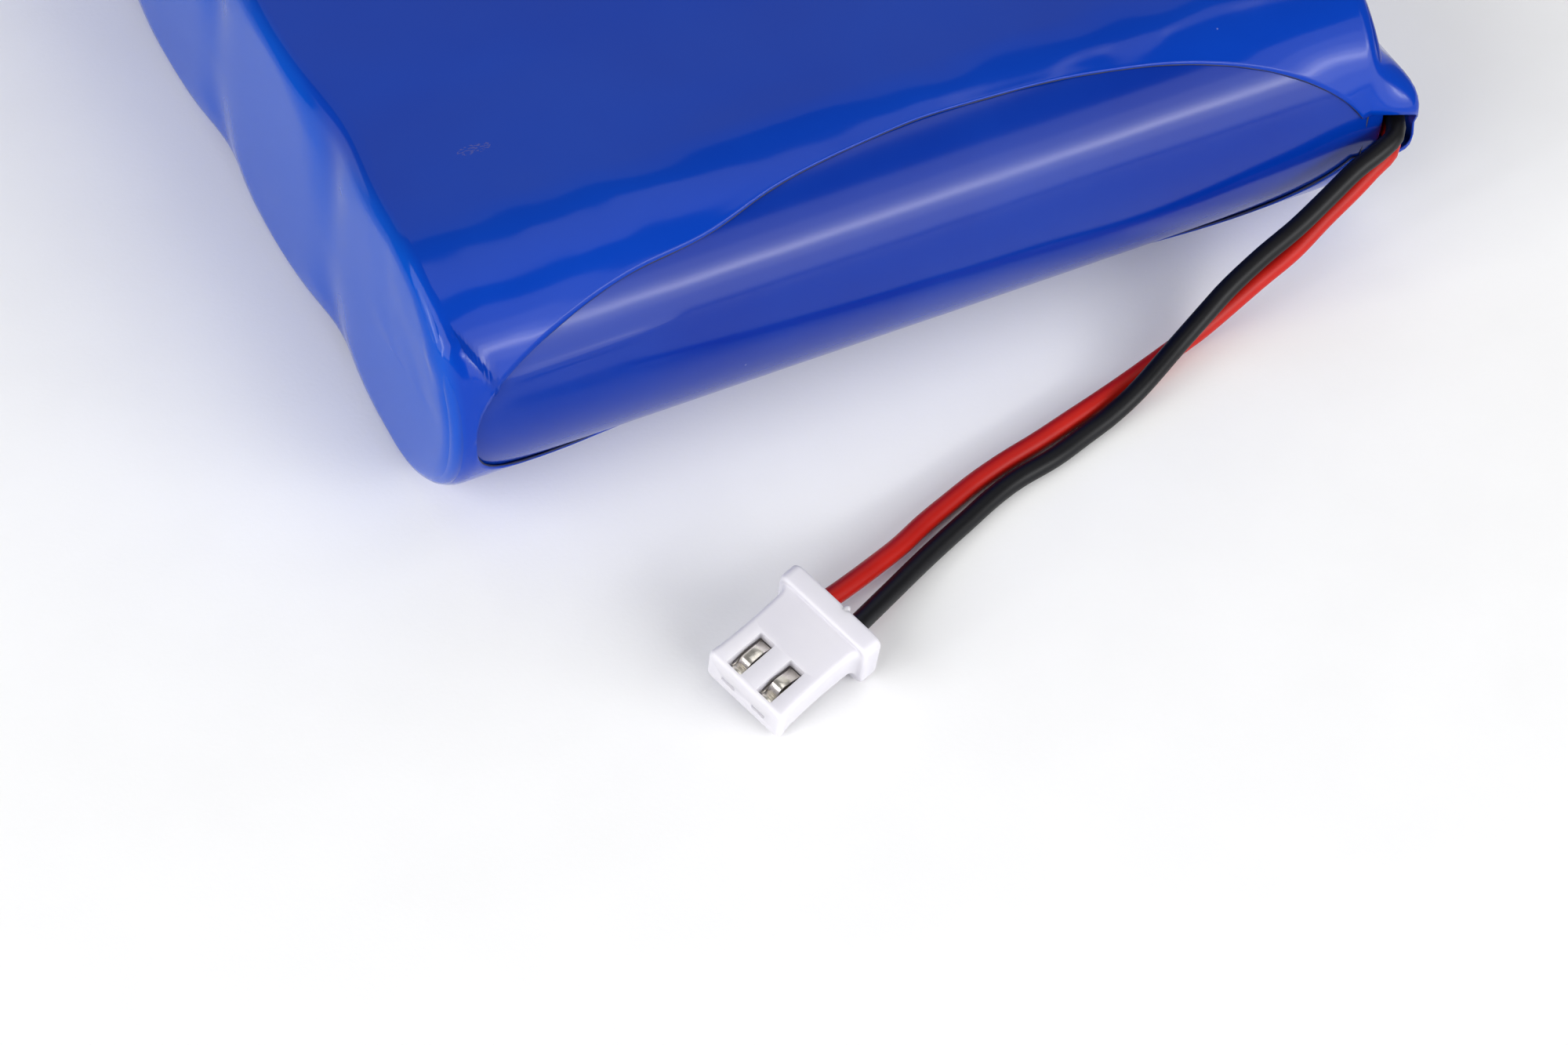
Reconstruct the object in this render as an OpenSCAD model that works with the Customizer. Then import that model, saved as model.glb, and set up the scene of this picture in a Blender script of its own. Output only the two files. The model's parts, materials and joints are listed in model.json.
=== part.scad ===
// Rechargeable battery pack: a row of cylindrical lithium-ion cells in two shrink sleeves,
// with a protection board at one end and two flexible leads that end in a small plug.
// X runs along the cells, Y along the row, Z up. The origin is the middle of the base.

/* [Cells] */
// Diameter of a cell over its own jacket
cell_d = 18.4; // [17.8:0.1:18.4]
// Length of a cell from its base to the top of its cap
cell_len = 65.1; // [64:0.1:70]
// Distance between the axes of neighbouring cells
cell_pitch = 18.6; // [18.6:0.1:19]
// Wall of the steel can
can_wall = 0.25; // [0.2:0.05:0.4]
// Diameter of the button on the positive cap
button_d = 8; // [6:0.5:9]

/* [Sleeves] */
// Thickness of each shrink film
film = 0.15; // [0.1:0.05:0.2]
// Width of the inner sleeve's lip that is folded over the ends
lip_w = 2; // [1:0.25:2]
// Width of the open mouth in the outer sleeve
mouth_w = 63.8; // [50:0.2:63.8]
// Height of the open mouth in the outer sleeve
mouth_h = 17.7; // [10:0.1:17.8]

/* [Strips] */
// Width of the welded nickel strips
strip_w = 8; // [5:0.5:9]
// Thickness of the welded nickel strips
strip_t = 0.15; // [0.1:0.05:0.15]

/* [Board] */
// Length of the protection board
board_len = 40; // [38:1:40]
// Height of the protection board
board_h = 13.2; // [12:0.1:13.2]
// Thickness of the protection board
board_t = 0.8; // [0.6:0.1:0.8]

/* [Leads] */
// Diameter of a lead over its insulation
lead_d = 1.3; // [1:0.05:1.3]
// Diameter of a lead's bare copper core
core_d = 0.5; // [0.3:0.05:0.5]

/* [Connector] */
// Distance between the two contacts
contact_pitch = 2.5; // [2.4:0.05:2.6]
// Width of the plug housing's body
plug_w = 6; // [5.8:0.1:6.4]
// Length of the plug housing
plug_len = 7.7; // [7.7:0.1:8.2]
// Width of the flange at the plug's rear
flange_w = 7.4; // [7:0.1:8]
// Height of the flange at the plug's rear
flange_h = 4.25; // [4.2:0.05:4.3]

/* [Hidden] */
$fn = 64;

// Small gap that keeps neighbouring pieces apart, and a cutter's overshoot
gap = 0.05;
over = 1;

// The row of cells
cell_count = 4;
row_half = cell_pitch * (cell_count - 1) / 2;
cell_r = cell_d / 2;
inner_r = cell_r + gap;
outer_r = inner_r + 2 * film + gap;
axis_z = outer_r;
can_r = cell_r - 0.12;

// Planes along X, from the left film to the right film
left_end = -33.55;
right_end = left_end + cell_len;
strip_out = strip_t;
paper_in = strip_out + gap;
paper_out = paper_in + 0.3;
lip_in = paper_out + gap;
lip_out = lip_in + film;
film_in = lip_out + gap;
film_out = film_in + film;
board_in = lip_in;
board_out = board_in + board_t;
parts_out = board_out + 1.1;
tape_in = parts_out + gap;
tape_out = tape_in + film;
bump_out = tape_out + 0.1 + film;
board_x = right_end + board_in;
board_face = right_end + board_out;
board_mid = axis_z;

// The stretch of lead that runs inside the sleeve
tail_x = 33.4;
tail_start = -20.4;
tail_end = -36;
red_z = 8.8;
black_z = 10.2;

// The tap wire that runs in the groove between the middle cells
tap_z = 13;
tap_d = 1;

// Cell details, measured along the cell from its base
jacket_t = 0.1;
bead_at = 60.5;
crimp_at = 64.2;
cap_plate_at = 63.4;
washer_at = crimp_at + gap;
jacket_top = 64.6;
base_at = 0.12;

// The plug's place, and the way it lies on the surface
plug_at = [-16.79, -53.93, 2.6];
plug_turn = [-10, 8, -162];
chamber_w = 2;
chamber_h = 1.8;
contact_z = 0.25;
crimp_start = 1.6;

// The red lead's route, from inside the sleeve to the plug's contact
red_route = [
    [33.4, -36, 8.8], [33, -37.2, 8.7], [32.1, -38.3, 8.5], [30.5, -38.9, 8.1],
    [29, -39.3, 7.3], [26.6, -39.8, 6], [24.2, -40.3, 4.5], [21.6, -40.6, 3.2],
    [19, -41, 2], [17, -41.4, 1.3], [15, -41.8, 0.9], [11, -42.9, 0.7],
    [8.1, -43.7, 0.7], [5.4, -44.4, 0.7], [2.7, -45.1, 0.7], [0, -45.7, 0.7],
    [-2.5, -46.4, 0.7], [-4.9, -47.3, 0.8], [-7.3, -48.3, 1], [-9.7, -49.5, 1.3],
    [-12.1, -50.6, 1.8], [-14.5, -51.7, 2.4], [-17.21, -52.79, 2.93], [-18.73, -53.31, 2.84]
];

// The black lead's route, which starts above the red one and crosses it once
black_route = [
    [33.4, -36, 10.2], [33, -37.2, 10.2], [32.2, -38.4, 10], [30.6, -39, 9.7],
    [28.8, -39.3, 9.1], [26.5, -39.8, 7.9], [24.1, -40.3, 6.7], [21.5, -40.6, 5.4],
    [19, -41, 4], [17, -41.6, 3], [14.3, -42.7, 2.2], [10.6, -44.4, 1.5],
    [8.1, -45.2, 0.9], [5.6, -45.9, 0.7], [3, -46.7, 0.7], [0, -47.3, 0.7],
    [-2.2, -48, 0.7], [-4.6, -49, 0.7], [-6.9, -50, 0.8], [-9.2, -51.1, 1],
    [-11.6, -52.4, 1.4], [-13.9, -53.7, 1.9], [-16.39, -55.12, 2.5], [-17.91, -55.63, 2.41]
];

// ---------------------------------------------------------------- helpers

// Centre of cell number i (from 0, the front cell) along the row
function cell_y(i) = (i - (cell_count - 1) / 2) * cell_pitch;

// The two front cells have their positive caps at the right
function cap_at_right(i) = i < cell_count / 2;

function unit(v) = v / norm(v);
function heading(path, i) =
    unit(path[min(i + 1, len(path) - 1)] - path[max(i - 1, 0)]);
function signed_power(v, p) = sign(v) * pow(abs(v), p);

// An extrusion along X of an outline drawn in Y and Z
module along_x(from, to) {
    translate([from, 0, 0]) rotate([90, 0, 90]) linear_extrude(to - from) children();
}

// The outline of the row of cells, with half-round ends of radius r
module row_outline(r) {
    translate([-row_half, axis_z - r]) square([2 * row_half, 2 * r]);
    for (side = [-1, 1]) translate([side * row_half, axis_z]) circle(r, $fn = 96);
}

// Something drawn along +Z from a cell's base, put in place as cell number i
module in_cell(i) {
    if (cap_at_right(i))
        translate([left_end, cell_y(i), axis_z]) rotate([0, 90, 0]) children();
    else
        translate([right_end, cell_y(i), axis_z]) rotate([0, -90, 0]) children();
}

// A block given by its lowest and highest corners
module block(low, high) {
    translate(low) cube(high - low);
}

// A lead: an eight-sided tube swept along a route
module lead_tube(path) {
    sides = 8;
    last = len(path) - 1;
    rings = [
        for (i = [0:last])
            let (ahead = heading(path, i), side = unit(cross([0, 0, 1], ahead)), top = cross(ahead, side))
                for (k = [0:sides - 1])
                    let (a = 360 * (k + 0.5) / sides)
                        path[i] + lead_d / 2 * (cos(a) * side + sin(a) * top)
    ];
    skin = [
        for (i = [0:last - 1], k = [0:sides - 1])
            let (a = i * sides + k, b = i * sides + (k + 1) % sides)
                [a, a + sides, b + sides, b]
    ];
    polyhedron(
        points = rings,
        faces = concat(skin, [[for (k = [0:sides - 1]) k], [for (k = [0:sides - 1]) last * sides + sides - 1 - k]])
    );
}

// ---------------------------------------------------------------- sleeves

// A low tent of film: a wide foot on the end face and a narrower crest, shrunk by its own skin
module tent(crest_x, shrink) {
    foot_x = right_end + film_in;
    hull() {
        along_x(foot_x - 0.1, foot_x) offset(delta = -shrink) children(0);
        along_x(crest_x - 0.01, crest_x) offset(delta = -shrink) children(1);
    }
}

// The bump that the film makes over the board
module board_bump(crest_x, shrink) {
    slope = 2.4;
    foot_y = board_len / 2 + 4;
    tent(crest_x, shrink) {
        translate([-foot_y, board_mid - 8.7]) square([2 * foot_y, 17.4]);
        translate([slope - foot_y, board_mid - 7.7]) square([2 * (foot_y - slope), 15.4]);
    }
}

// The ridge that the film makes over the leads, open at the front
module lead_ridge(crest_x, shrink, front) {
    back = -18;
    knee = -35;
    tent(crest_x, shrink) {
        translate([0, axis_z]) polygon([
            [front, -2.2], [front, 2.2], [knee, 4.4], [back, 5], [back, -5], [knee, -4.4]
        ]);
        translate([front, axis_z - 2.2]) square([back - front, 4.4]);
    }
}

// The open mouth through one side of the outer sleeve, a slightly squared ellipse
module mouth(side) {
    roundness = 0.95;
    steps = 48;
    outline = [
        for (i = [0:steps - 1])
            let (a = 360 * i / steps)
                [mouth_w / 2 * signed_power(cos(a), roundness), mouth_h / 2 * signed_power(sin(a), roundness)]
    ];
    translate([0, side * (row_half + outer_r / 2), axis_z])
        rotate([90, 0, 0]) linear_extrude(outer_r + over, center = true) polygon(outline);
}

// Outer shrink sleeve: a tube round the top, the base and both ends, open at the front and back
module outer_sleeve() {
    front = -row_half - outer_r;
    crest = right_end + bump_out;
    notch_h = 2;
    color([0.13, 0.3, 0.72]) difference() {
        union() {
            along_x(left_end - film_out, right_end + film_out) row_outline(outer_r);
            board_bump(crest, 0);
            lead_ridge(crest, 0, front);
        }
        along_x(left_end - film_in, right_end + film_in) row_outline(outer_r - film);
        board_bump(crest - film, film);
        lead_ridge(crest - film, film, front - over);
        for (side = [-1, 1]) mouth(side);
        block([31.2, front - over, axis_z - notch_h], [32.7, -36.2, axis_z + notch_h]);
    }
}

// Inner shrink sleeve: a tube round the row of cells, with a lip folded over each end
module inner_sleeve() {
    skin_r = inner_r + film;
    color([0.1, 0.22, 0.6]) {
        difference() {
            along_x(left_end - lip_out, right_end + lip_out) row_outline(skin_r);
            along_x(left_end - lip_in, right_end + lip_in) row_outline(inner_r);
            along_x(left_end - lip_out - over, right_end + lip_out + over) row_outline(skin_r - lip_w);
        }
    }
}

// ---------------------------------------------------------------- cells

// Printed plastic jacket round one cell, turned in a little over both ends
module cell_jacket(i) {
    base_hole = 6.5;
    cap_hole = 7.2;
    color([0.16, 0.42, 0.36]) in_cell(i) rotate_extrude($fn = 96) polygon([
        [base_hole, 0], [cell_r, 0], [cell_r, jacket_top], [cap_hole, jacket_top],
        [cap_hole, jacket_top - jacket_t], [cell_r - jacket_t, jacket_top - jacket_t],
        [cell_r - jacket_t, jacket_t], [base_hole, jacket_t]
    ]);
}

// Steel can: base, wall, the rolled bead and the edge crimped over the cap
module cell_can(i) {
    wall_in = can_r - can_wall;
    lip_r = 7.4;
    color("silver") in_cell(i) rotate_extrude($fn = 96) polygon([
        [0, base_at], [can_r - 0.3, base_at], [can_r, 0.4], [can_r, bead_at - 0.8],
        [can_r - 0.6, bead_at - 0.3], [can_r - 0.6, bead_at + 0.3], [can_r, bead_at + 0.8],
        [can_r, crimp_at - 0.2], [can_r - 0.2, crimp_at], [lip_r, crimp_at],
        [lip_r, crimp_at - can_wall], [wall_in, crimp_at - can_wall], [wall_in, bead_at + 0.9],
        [wall_in - 0.6, bead_at + 0.4], [wall_in - 0.6, bead_at - 0.4], [wall_in, bead_at - 0.9],
        [wall_in, 0.4], [0, 0.4]
    ]);
}

// Positive cap: a plate with a raised button and three vent holes round its side
module cell_cap(i) {
    plate_r = 8.4;
    button_r = button_d / 2;
    color("gainsboro") in_cell(i) difference() {
        rotate_extrude() polygon([
            [0, cell_len], [button_r - 0.2, cell_len], [button_r, cell_len - 0.2],
            [button_r + 0.3, cap_plate_at], [plate_r, cap_plate_at], [plate_r, cap_plate_at - 0.6],
            [button_r - 0.1, cap_plate_at - 0.6], [button_r - 0.4, cell_len - 0.5], [0, cell_len - 0.5]
        ]);
        for (turn = [0, 120, 240])
            rotate([0, 0, turn]) translate([0, 0, cap_plate_at + 0.55])
                rotate([0, 90, 0]) cylinder(r = 0.4, h = button_r + over, $fn = 24);
    }
}

// Insulating washer between the crimped edge and the jacket, round the button
module cap_washer(i) {
    color("white") in_cell(i) translate([0, 0, washer_at]) difference() {
        cylinder(r = cell_r - 0.3, h = 0.2);
        translate([0, 0, -over]) cylinder(r = button_d / 2 + 0.9, h = 0.2 + 2 * over);
    }
}

// Sealing gaskets between each cap and its can
module cell_gaskets() {
    out_r = can_r - can_wall - gap;
    color("dimgray") for (i = [0:cell_count - 1]) in_cell(i) rotate_extrude() polygon([
        [out_r, bead_at + 1], [out_r, crimp_at - can_wall - gap], [7.4, crimp_at - can_wall - gap],
        [7.4, cap_plate_at + gap], [8.45, cap_plate_at + gap], [8.45, cap_plate_at - 0.6 - gap],
        [7, cap_plate_at - 0.6 - gap], [7, bead_at + 1]
    ]);
}

// Wound electrodes in each can, with the hole left by the winding pin
module electrode_rolls() {
    roll_r = can_r - can_wall - 0.15;
    color([0.3, 0.3, 0.32]) for (i = [0:cell_count - 1]) in_cell(i) translate([0, 0, 0.7]) difference() {
        cylinder(r = roll_r, h = bead_at - 2.2);
        translate([0, 0, -over]) cylinder(r = 1.5, h = bead_at + over);
    }
}

// Beads of glue in the grooves under neighbouring cells
module cell_glue() {
    bead_half = 26;
    color([0.95, 0.95, 0.88]) for (i = [0:cell_count - 2]) difference() {
        translate([0, cell_y(i) + cell_pitch / 2, 0])
            block([-bead_half, -1.6, axis_z - 4.2], [bead_half, 1.6, axis_z - 2.6]);
        for (k = [i, i + 1])
            translate([-bead_half - over, cell_y(k), axis_z])
                rotate([0, 90, 0]) cylinder(r = cell_r + 0.02, h = 2 * (bead_half + over));
    }
}

// ---------------------------------------------------------------- strips and papers

// A nickel strip over cells first to last, with its face on plane x and its weld pads on can bases
module strip(x, out, first, last) {
    half_w = strip_w / 2;
    pad_h = base_at;
    y_low = cell_y(first) - half_w;
    y_high = cell_y(last) + half_w;
    difference() {
        block(
            [min(x, x + out * strip_t), y_low, axis_z - half_w],
            [max(x, x + out * strip_t), y_high, axis_z + half_w]
        );
        for (i = [first:last])
            translate([x, cell_y(i), axis_z]) rotate([0, 90, 0])
                block([-half_w + 1.5, -0.3, -over], [half_w - 1.5, 0.3, over]);
    }
    for (i = [first:last])
        if (cap_at_right(i) != (out > 0))
            for (side = [-1, 1])
                translate([x - out * pad_h, cell_y(i) + side * 1.8, axis_z])
                    rotate([0, out * 90, 0]) cylinder(r = 0.9, h = pad_h + strip_t / 2, $fn = 32);
}

// Strip across all the cells at the left: it joins the front pair to the back pair
module series_strip() {
    color("silver") strip(left_end, -1, 0, cell_count - 1);
}

// Strip across the front pair at the right
module positive_strip() {
    color("silver") strip(right_end, 1, 0, cell_count / 2 - 1);
}

// Strip across the back pair at the right
module negative_strip() {
    color("silver") strip(right_end, 1, cell_count / 2, cell_count - 1);
}

// Tabs that rise from the strips, past the paper and the board's edges, onto the board
module board_tabs() {
    tab_w = 3;
    start = right_end + strip_out;
    for (side = [-1, 1], low_z = [side < 0 ? 5 : 8]) {
        edge = side * (board_len / 2 + 0.6);
        inner = side * (board_len / 2 - 2);
        color("silver") {
            block(
                [start, min(edge, edge + side * strip_t), low_z],
                [board_face + strip_t, max(edge, edge + side * strip_t), low_z + tab_w]
            );
            block(
                [board_face, min(inner, edge), low_z],
                [board_face + strip_t, max(inner, edge), low_z + tab_w]
            );
        }
    }
}

// Insulating fish paper over the left end, cut to the outline of the four cell ends
module end_paper_left() {
    bridge_h = 6;
    color([0.55, 0.6, 0.62]) along_x(left_end - paper_out, left_end - paper_in) {
        translate([-row_half, axis_z - bridge_h / 2]) square([2 * row_half, bridge_h]);
        for (i = [0:cell_count - 1]) translate([cell_y(i), axis_z]) circle(cell_r - 0.2, $fn = 96);
    }
}

// Insulating fish paper over the right end, with slots for the tabs and the tap wire
module end_paper_right() {
    color([0.55, 0.6, 0.62]) difference() {
        along_x(right_end + paper_in, right_end + paper_out) row_outline(cell_r - 0.2);
        for (side = [-1, 1])
            translate([right_end, side * (board_len / 2 + 0.6), 0])
                block([-over, -0.6, side < 0 ? 4.6 : 7.6], [over, 0.6, side < 0 ? 8.4 : 11.4]);
        translate([right_end - over, 0, tap_z]) rotate([0, 90, 0]) cylinder(d = tap_d + 0.4, h = 3 * over, $fn = 32);
    }
}

// ---------------------------------------------------------------- protection board

// Bare board with the plated hole that takes the tap wire
module protection_board() {
    color("darkgreen") difference() {
        block([board_x, -board_len / 2, board_mid - board_h / 2], [board_face, board_len / 2, board_mid + board_h / 2]);
        translate([board_x - over, 0, tap_z]) rotate([0, 90, 0]) cylinder(d = tap_d + 0.2, h = 3 * over, $fn = 32);
    }
}

// One surface-mounted package on the board, with rows of legs along its two long sides
module package(y, z, size_y, size_z, tall, legs) {
    block([board_face + 0.1, y - size_y / 2, z - size_z / 2], [board_face + tall, y + size_y / 2, z + size_z / 2]);
    pitch = size_y / (legs + 0.2);
    for (k = [0:legs - 1], side = [-1, 1])
        translate([board_face, y + (k - (legs - 1) / 2) * pitch, z + side * (size_z / 2 + 0.35)])
            block([0, -0.15, -0.4], [0.35, 0.15, 0.4]);
}

// The pair of switching transistors
module board_mosfets() {
    color([0.12, 0.12, 0.13]) for (y = [-11.5, -5.5]) package(y, board_mid - 1.5, 4.4, 3, 1, 4);
}

// The protection chips
module board_ics() {
    color([0.15, 0.15, 0.16]) for (y = [4.5, 10]) package(y, board_mid - 1, 2.9, 1.6, 1.05, 3);
}

// Resistors and capacitors
module board_passives() {
    color([0.7, 0.6, 0.45]) {
        for (y = [-14, -9.5, -5, 6, 9, 12, 15])
            block([board_face, y - 0.8, board_mid + 3.4], [board_face + 0.55, y + 0.8, board_mid + 4.2]);
        for (y = [3, 6.5, 13.5])
            block([board_face, y - 0.5, board_mid - 5], [board_face + 0.5, y + 0.5, board_mid - 4.4]);
    }
}

// Solder: sleeves round the lead cores, and domes on the tabs and on both ends of the tap wire
module solder_joints() {
    color([0.8, 0.8, 0.82]) {
        for (z = [red_z, black_z]) difference() {
            translate([0, -18.9, z]) {
                rotate([90, 0, 0]) translate([tail_x, 0, 0]) cylinder(r = 0.45, h = 1.4, center = true, $fn = 32);
                block([board_face, -0.7, -0.4], [tail_x, 0.7, 0.4]);
            }
            translate([tail_x, -18.9, z]) rotate([90, 0, 0]) cylinder(d = core_d + 0.02, h = 4, center = true, $fn = 32);
        }
        for (side = [-1, 1])
            translate([board_face + strip_t, side * (board_len / 2 - 1.1), side < 0 ? 6.5 : 9.5])
                rotate([0, 90, 0]) cylinder(r1 = 0.9, r2 = 0.5, h = 0.4, $fn = 32);
        difference() {
            translate([board_face, 0, tap_z]) rotate([0, 90, 0]) cylinder(r1 = 1, r2 = 0.6, h = 0.6, $fn = 32);
            translate([board_face - over, 0, tap_z]) rotate([0, 90, 0]) cylinder(d = tap_d + 0.02, h = 3 * over, $fn = 32);
        }
    }
}

// Tape over the board and its parts, folded down along both long edges
module board_tape() {
    half_y = board_len / 2 + 0.3;
    low_z = 2.3;
    high_z = 2 * board_mid - low_z;
    fold_x = board_x + 0.1;
    color([0.85, 0.6, 0.1, 0.8]) {
        block([right_end + tape_in, -half_y, low_z], [right_end + tape_out, half_y, high_z]);
        block([fold_x, -half_y, low_z], [right_end + tape_out, half_y, low_z + film]);
        block([fold_x, -half_y, high_z - film], [right_end + tape_out, half_y, high_z]);
    }
}

// ---------------------------------------------------------------- wires and plug

// Tap wire in the groove between the two middle cells, from the series strip to the board
module sense_wire() {
    color("white") translate([left_end, 0, tap_z])
        rotate([0, 90, 0]) cylinder(d = tap_d, h = board_face + 0.3 - left_end, $fn = 32);
}

// The stretch of one lead inside the sleeve, with its bare core on the board
module lead_tail(z) {
    translate([tail_x, tail_end, z]) rotate([-90, 0, 0]) cylinder(d = lead_d, h = tail_start - tail_end, $fn = 32);
    translate([tail_x, tail_start, z]) rotate([-90, 0, 0]) cylinder(d = core_d, h = 2, $fn = 24);
}

module red_lead_tail() {
    color("red") lead_tail(red_z);
}

module black_lead_tail() {
    color([0.1, 0.1, 0.1]) lead_tail(black_z);
}

module red_lead() {
    color("red") lead_tube(red_route);
}

module black_lead() {
    color([0.1, 0.1, 0.1]) lead_tube(black_route);
}

// Puts something drawn in the plug's own frame in place: X to the nose, Z up
module in_plug() {
    translate(plug_at) rotate(plug_turn) children();
}

// Centre of the red (-1) or black (1) contact across the plug
function contact_y(side) = side * contact_pitch / 2;

// Plug housing: a flanged block with two wire holes, two chambers and a window over each contact
module connector_housing() {
    body_low = -0.9;
    body_high = 2;
    flange_rear = -0.3;
    flange_t = 1.15;
    flange_z = 0.28;
    corner = 0.6;
    window_w = 1.2;
    window_from = 4.45;
    window_to = 7.4;
    slot_w = 1.1;
    slot_h = 0.5;
    slot_wall = 0.9;
    chamber_from = 3.2;
    wire_r = 0.82;
    bead_w = 0.9;
    color([0.93, 0.93, 0.95]) in_plug() difference() {
        union() {
            along_x(flange_rear, flange_t) translate([0, flange_z]) {
                square([flange_w - 2 * corner, flange_h], center = true);
                square([flange_w, flange_h - 2 * corner], center = true);
                for (y = [-1, 1], z = [-1, 1])
                    translate([y * (flange_w / 2 - corner), z * (flange_h / 2 - corner)]) circle(corner, $fn = 24);
            }
            block([flange_t - 0.1, -plug_w / 2, body_low], [plug_len, plug_w / 2, body_high]);
            block([flange_t - 0.1, plug_w / 2 - bead_w, -0.3], [flange_t + 1.2, plug_w / 2 + 0.35, 0.9]);
        }
        for (side = [-1, 1]) translate([0, contact_y(side), 0]) {
            translate([-over, 0, contact_z]) rotate([0, 90, 0])
                cylinder(r = wire_r, h = chamber_from + 0.2 + over, $fn = 32);
            block(
                [chamber_from, -chamber_w / 2, contact_z - chamber_h / 2],
                [plug_len - slot_wall, chamber_w / 2, contact_z + chamber_h / 2]
            );
            block([window_from, -window_w / 2, contact_z], [window_to, window_w / 2, body_high + over]);
            block(
                [plug_len - slot_wall - 0.1, -slot_w / 2, contact_z - slot_h / 2],
                [plug_len + over, slot_w / 2, contact_z + slot_h / 2]
            );
        }
    }
}

// Crimp terminal: the barrel on the lead's end, a neck, and the folded box that takes the pin
module crimp_terminal(side) {
    box_w = 1.7;
    box_h = 1.5;
    box_from = 4;
    box_to = 6.7;
    sheet = 0.2;
    barrel_r = 0.65;
    barrel_len = 1.7;
    neck_w = 0.9;
    color([0.8, 0.78, 0.72]) in_plug() translate([0, contact_y(side), contact_z]) difference() {
        union() {
            translate([crimp_start, 0, 0]) rotate([0, 90, 0]) cylinder(r = barrel_r, h = barrel_len, $fn = 32);
            block([crimp_start + barrel_len - 0.2, -neck_w / 2, -neck_w / 2], [box_from + 0.1, neck_w / 2, neck_w / 2]);
            block([box_from, -box_w / 2, -box_h / 2], [box_to, box_w / 2, box_h / 2]);
        }
        block(
            [box_from + 0.3, -box_w / 2 + sheet, -box_h / 2 + sheet],
            [box_to + over, box_w / 2 - sheet, box_h / 2 - sheet]
        );
    }
}

module crimp_terminal_red() {
    crimp_terminal(-1);
}

module crimp_terminal_black() {
    crimp_terminal(1);
}

// ---------------------------------------------------------------- what is drawn

outer_sleeve();
inner_sleeve();
cell_jacket(0);  // cell_jacket_1
cell_jacket(1);  // cell_jacket_2
cell_jacket(2);  // cell_jacket_3
cell_jacket(3);  // cell_jacket_4
cell_can(0);  // cell_can_1
cell_can(1);  // cell_can_2
cell_can(2);  // cell_can_3
cell_can(3);  // cell_can_4
cell_cap(0);  // cell_cap_1
cell_cap(1);  // cell_cap_2
cell_cap(2);  // cell_cap_3
cell_cap(3);  // cell_cap_4
cap_washer(0);  // cap_washer_1
cap_washer(1);  // cap_washer_2
cap_washer(2);  // cap_washer_3
cap_washer(3);  // cap_washer_4
cell_gaskets();
electrode_rolls();
cell_glue();
series_strip();
positive_strip();
negative_strip();
board_tabs();
end_paper_left();
end_paper_right();
board_tape();
protection_board();
board_mosfets();
board_ics();
board_passives();
solder_joints();
sense_wire();
red_lead_tail();
black_lead_tail();
red_lead();
black_lead();
connector_housing();
crimp_terminal_red();
crimp_terminal_black();
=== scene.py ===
"""A rechargeable battery pack on a pale floor: cells in blue shrink film, two leads and a white plug.

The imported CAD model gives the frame. Classes below build the visible film, leads and plug as
meshes, and give every inner node its own finish. Lengths inside the builders are in millimetres.
"""

import json
import logging
import math
from dataclasses import dataclass, field
from enum import Enum
from typing import Callable, Sequence

import bmesh
import bpy
import numpy as np
from mathutils import Euler, Matrix, Vector, noise


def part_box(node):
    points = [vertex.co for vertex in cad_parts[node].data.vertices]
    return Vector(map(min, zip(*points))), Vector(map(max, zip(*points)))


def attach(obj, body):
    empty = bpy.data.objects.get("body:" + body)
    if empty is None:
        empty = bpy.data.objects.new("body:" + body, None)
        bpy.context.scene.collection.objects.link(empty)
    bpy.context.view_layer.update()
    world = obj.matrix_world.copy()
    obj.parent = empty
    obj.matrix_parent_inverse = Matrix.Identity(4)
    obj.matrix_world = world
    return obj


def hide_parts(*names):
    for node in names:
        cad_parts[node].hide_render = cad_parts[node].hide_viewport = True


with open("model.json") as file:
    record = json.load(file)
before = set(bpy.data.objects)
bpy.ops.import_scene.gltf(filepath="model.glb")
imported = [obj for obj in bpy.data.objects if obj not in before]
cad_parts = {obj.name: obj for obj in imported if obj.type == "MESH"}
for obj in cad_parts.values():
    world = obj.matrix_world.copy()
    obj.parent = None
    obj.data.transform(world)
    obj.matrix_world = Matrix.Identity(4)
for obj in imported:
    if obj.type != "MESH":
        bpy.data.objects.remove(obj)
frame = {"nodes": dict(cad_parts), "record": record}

LOG = logging.getLogger("battery_pack")
MM = 0.001
Point = tuple[float, float, float]
Colour = tuple[float, float, float]
Faces = list[tuple[int, ...]]
Piece = bpy.types.Object
Socket = bpy.types.NodeSocket


# ------------------------------------------------------------------ small helpers


def smooth(edge_low: float, edge_high: float, value: float) -> float:
    """Smooth step from 0 at edge_low to 1 at edge_high."""
    t = min(1.0, max(0.0, (value - edge_low) / (edge_high - edge_low)))
    return t * t * (3 - 2 * t)


def bell(value: float, centre: float, width: float) -> float:
    """Bell curve that is 1 at its centre."""
    return math.exp(-(((value - centre) / width) ** 2))


def blend(a: float, b: float, t: float) -> float:
    """Straight mix from a to b."""
    return a + (b - a) * t


def box_mm(node: str) -> tuple[Vector, Vector]:
    """Lowest and highest corner of a CAD node, in millimetres."""
    low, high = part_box(node)
    return Vector(low) / MM, Vector(high) / MM


def srgb(red: int, green: int, blue: int) -> Colour:
    """Linear colour of an 8-bit display colour."""
    def linear(channel: int) -> float:
        c = channel / 255
        return c / 12.92 if c <= 0.04045 else ((c + 0.055) / 1.055) ** 2.4
    return (linear(red), linear(green), linear(blue))


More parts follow.
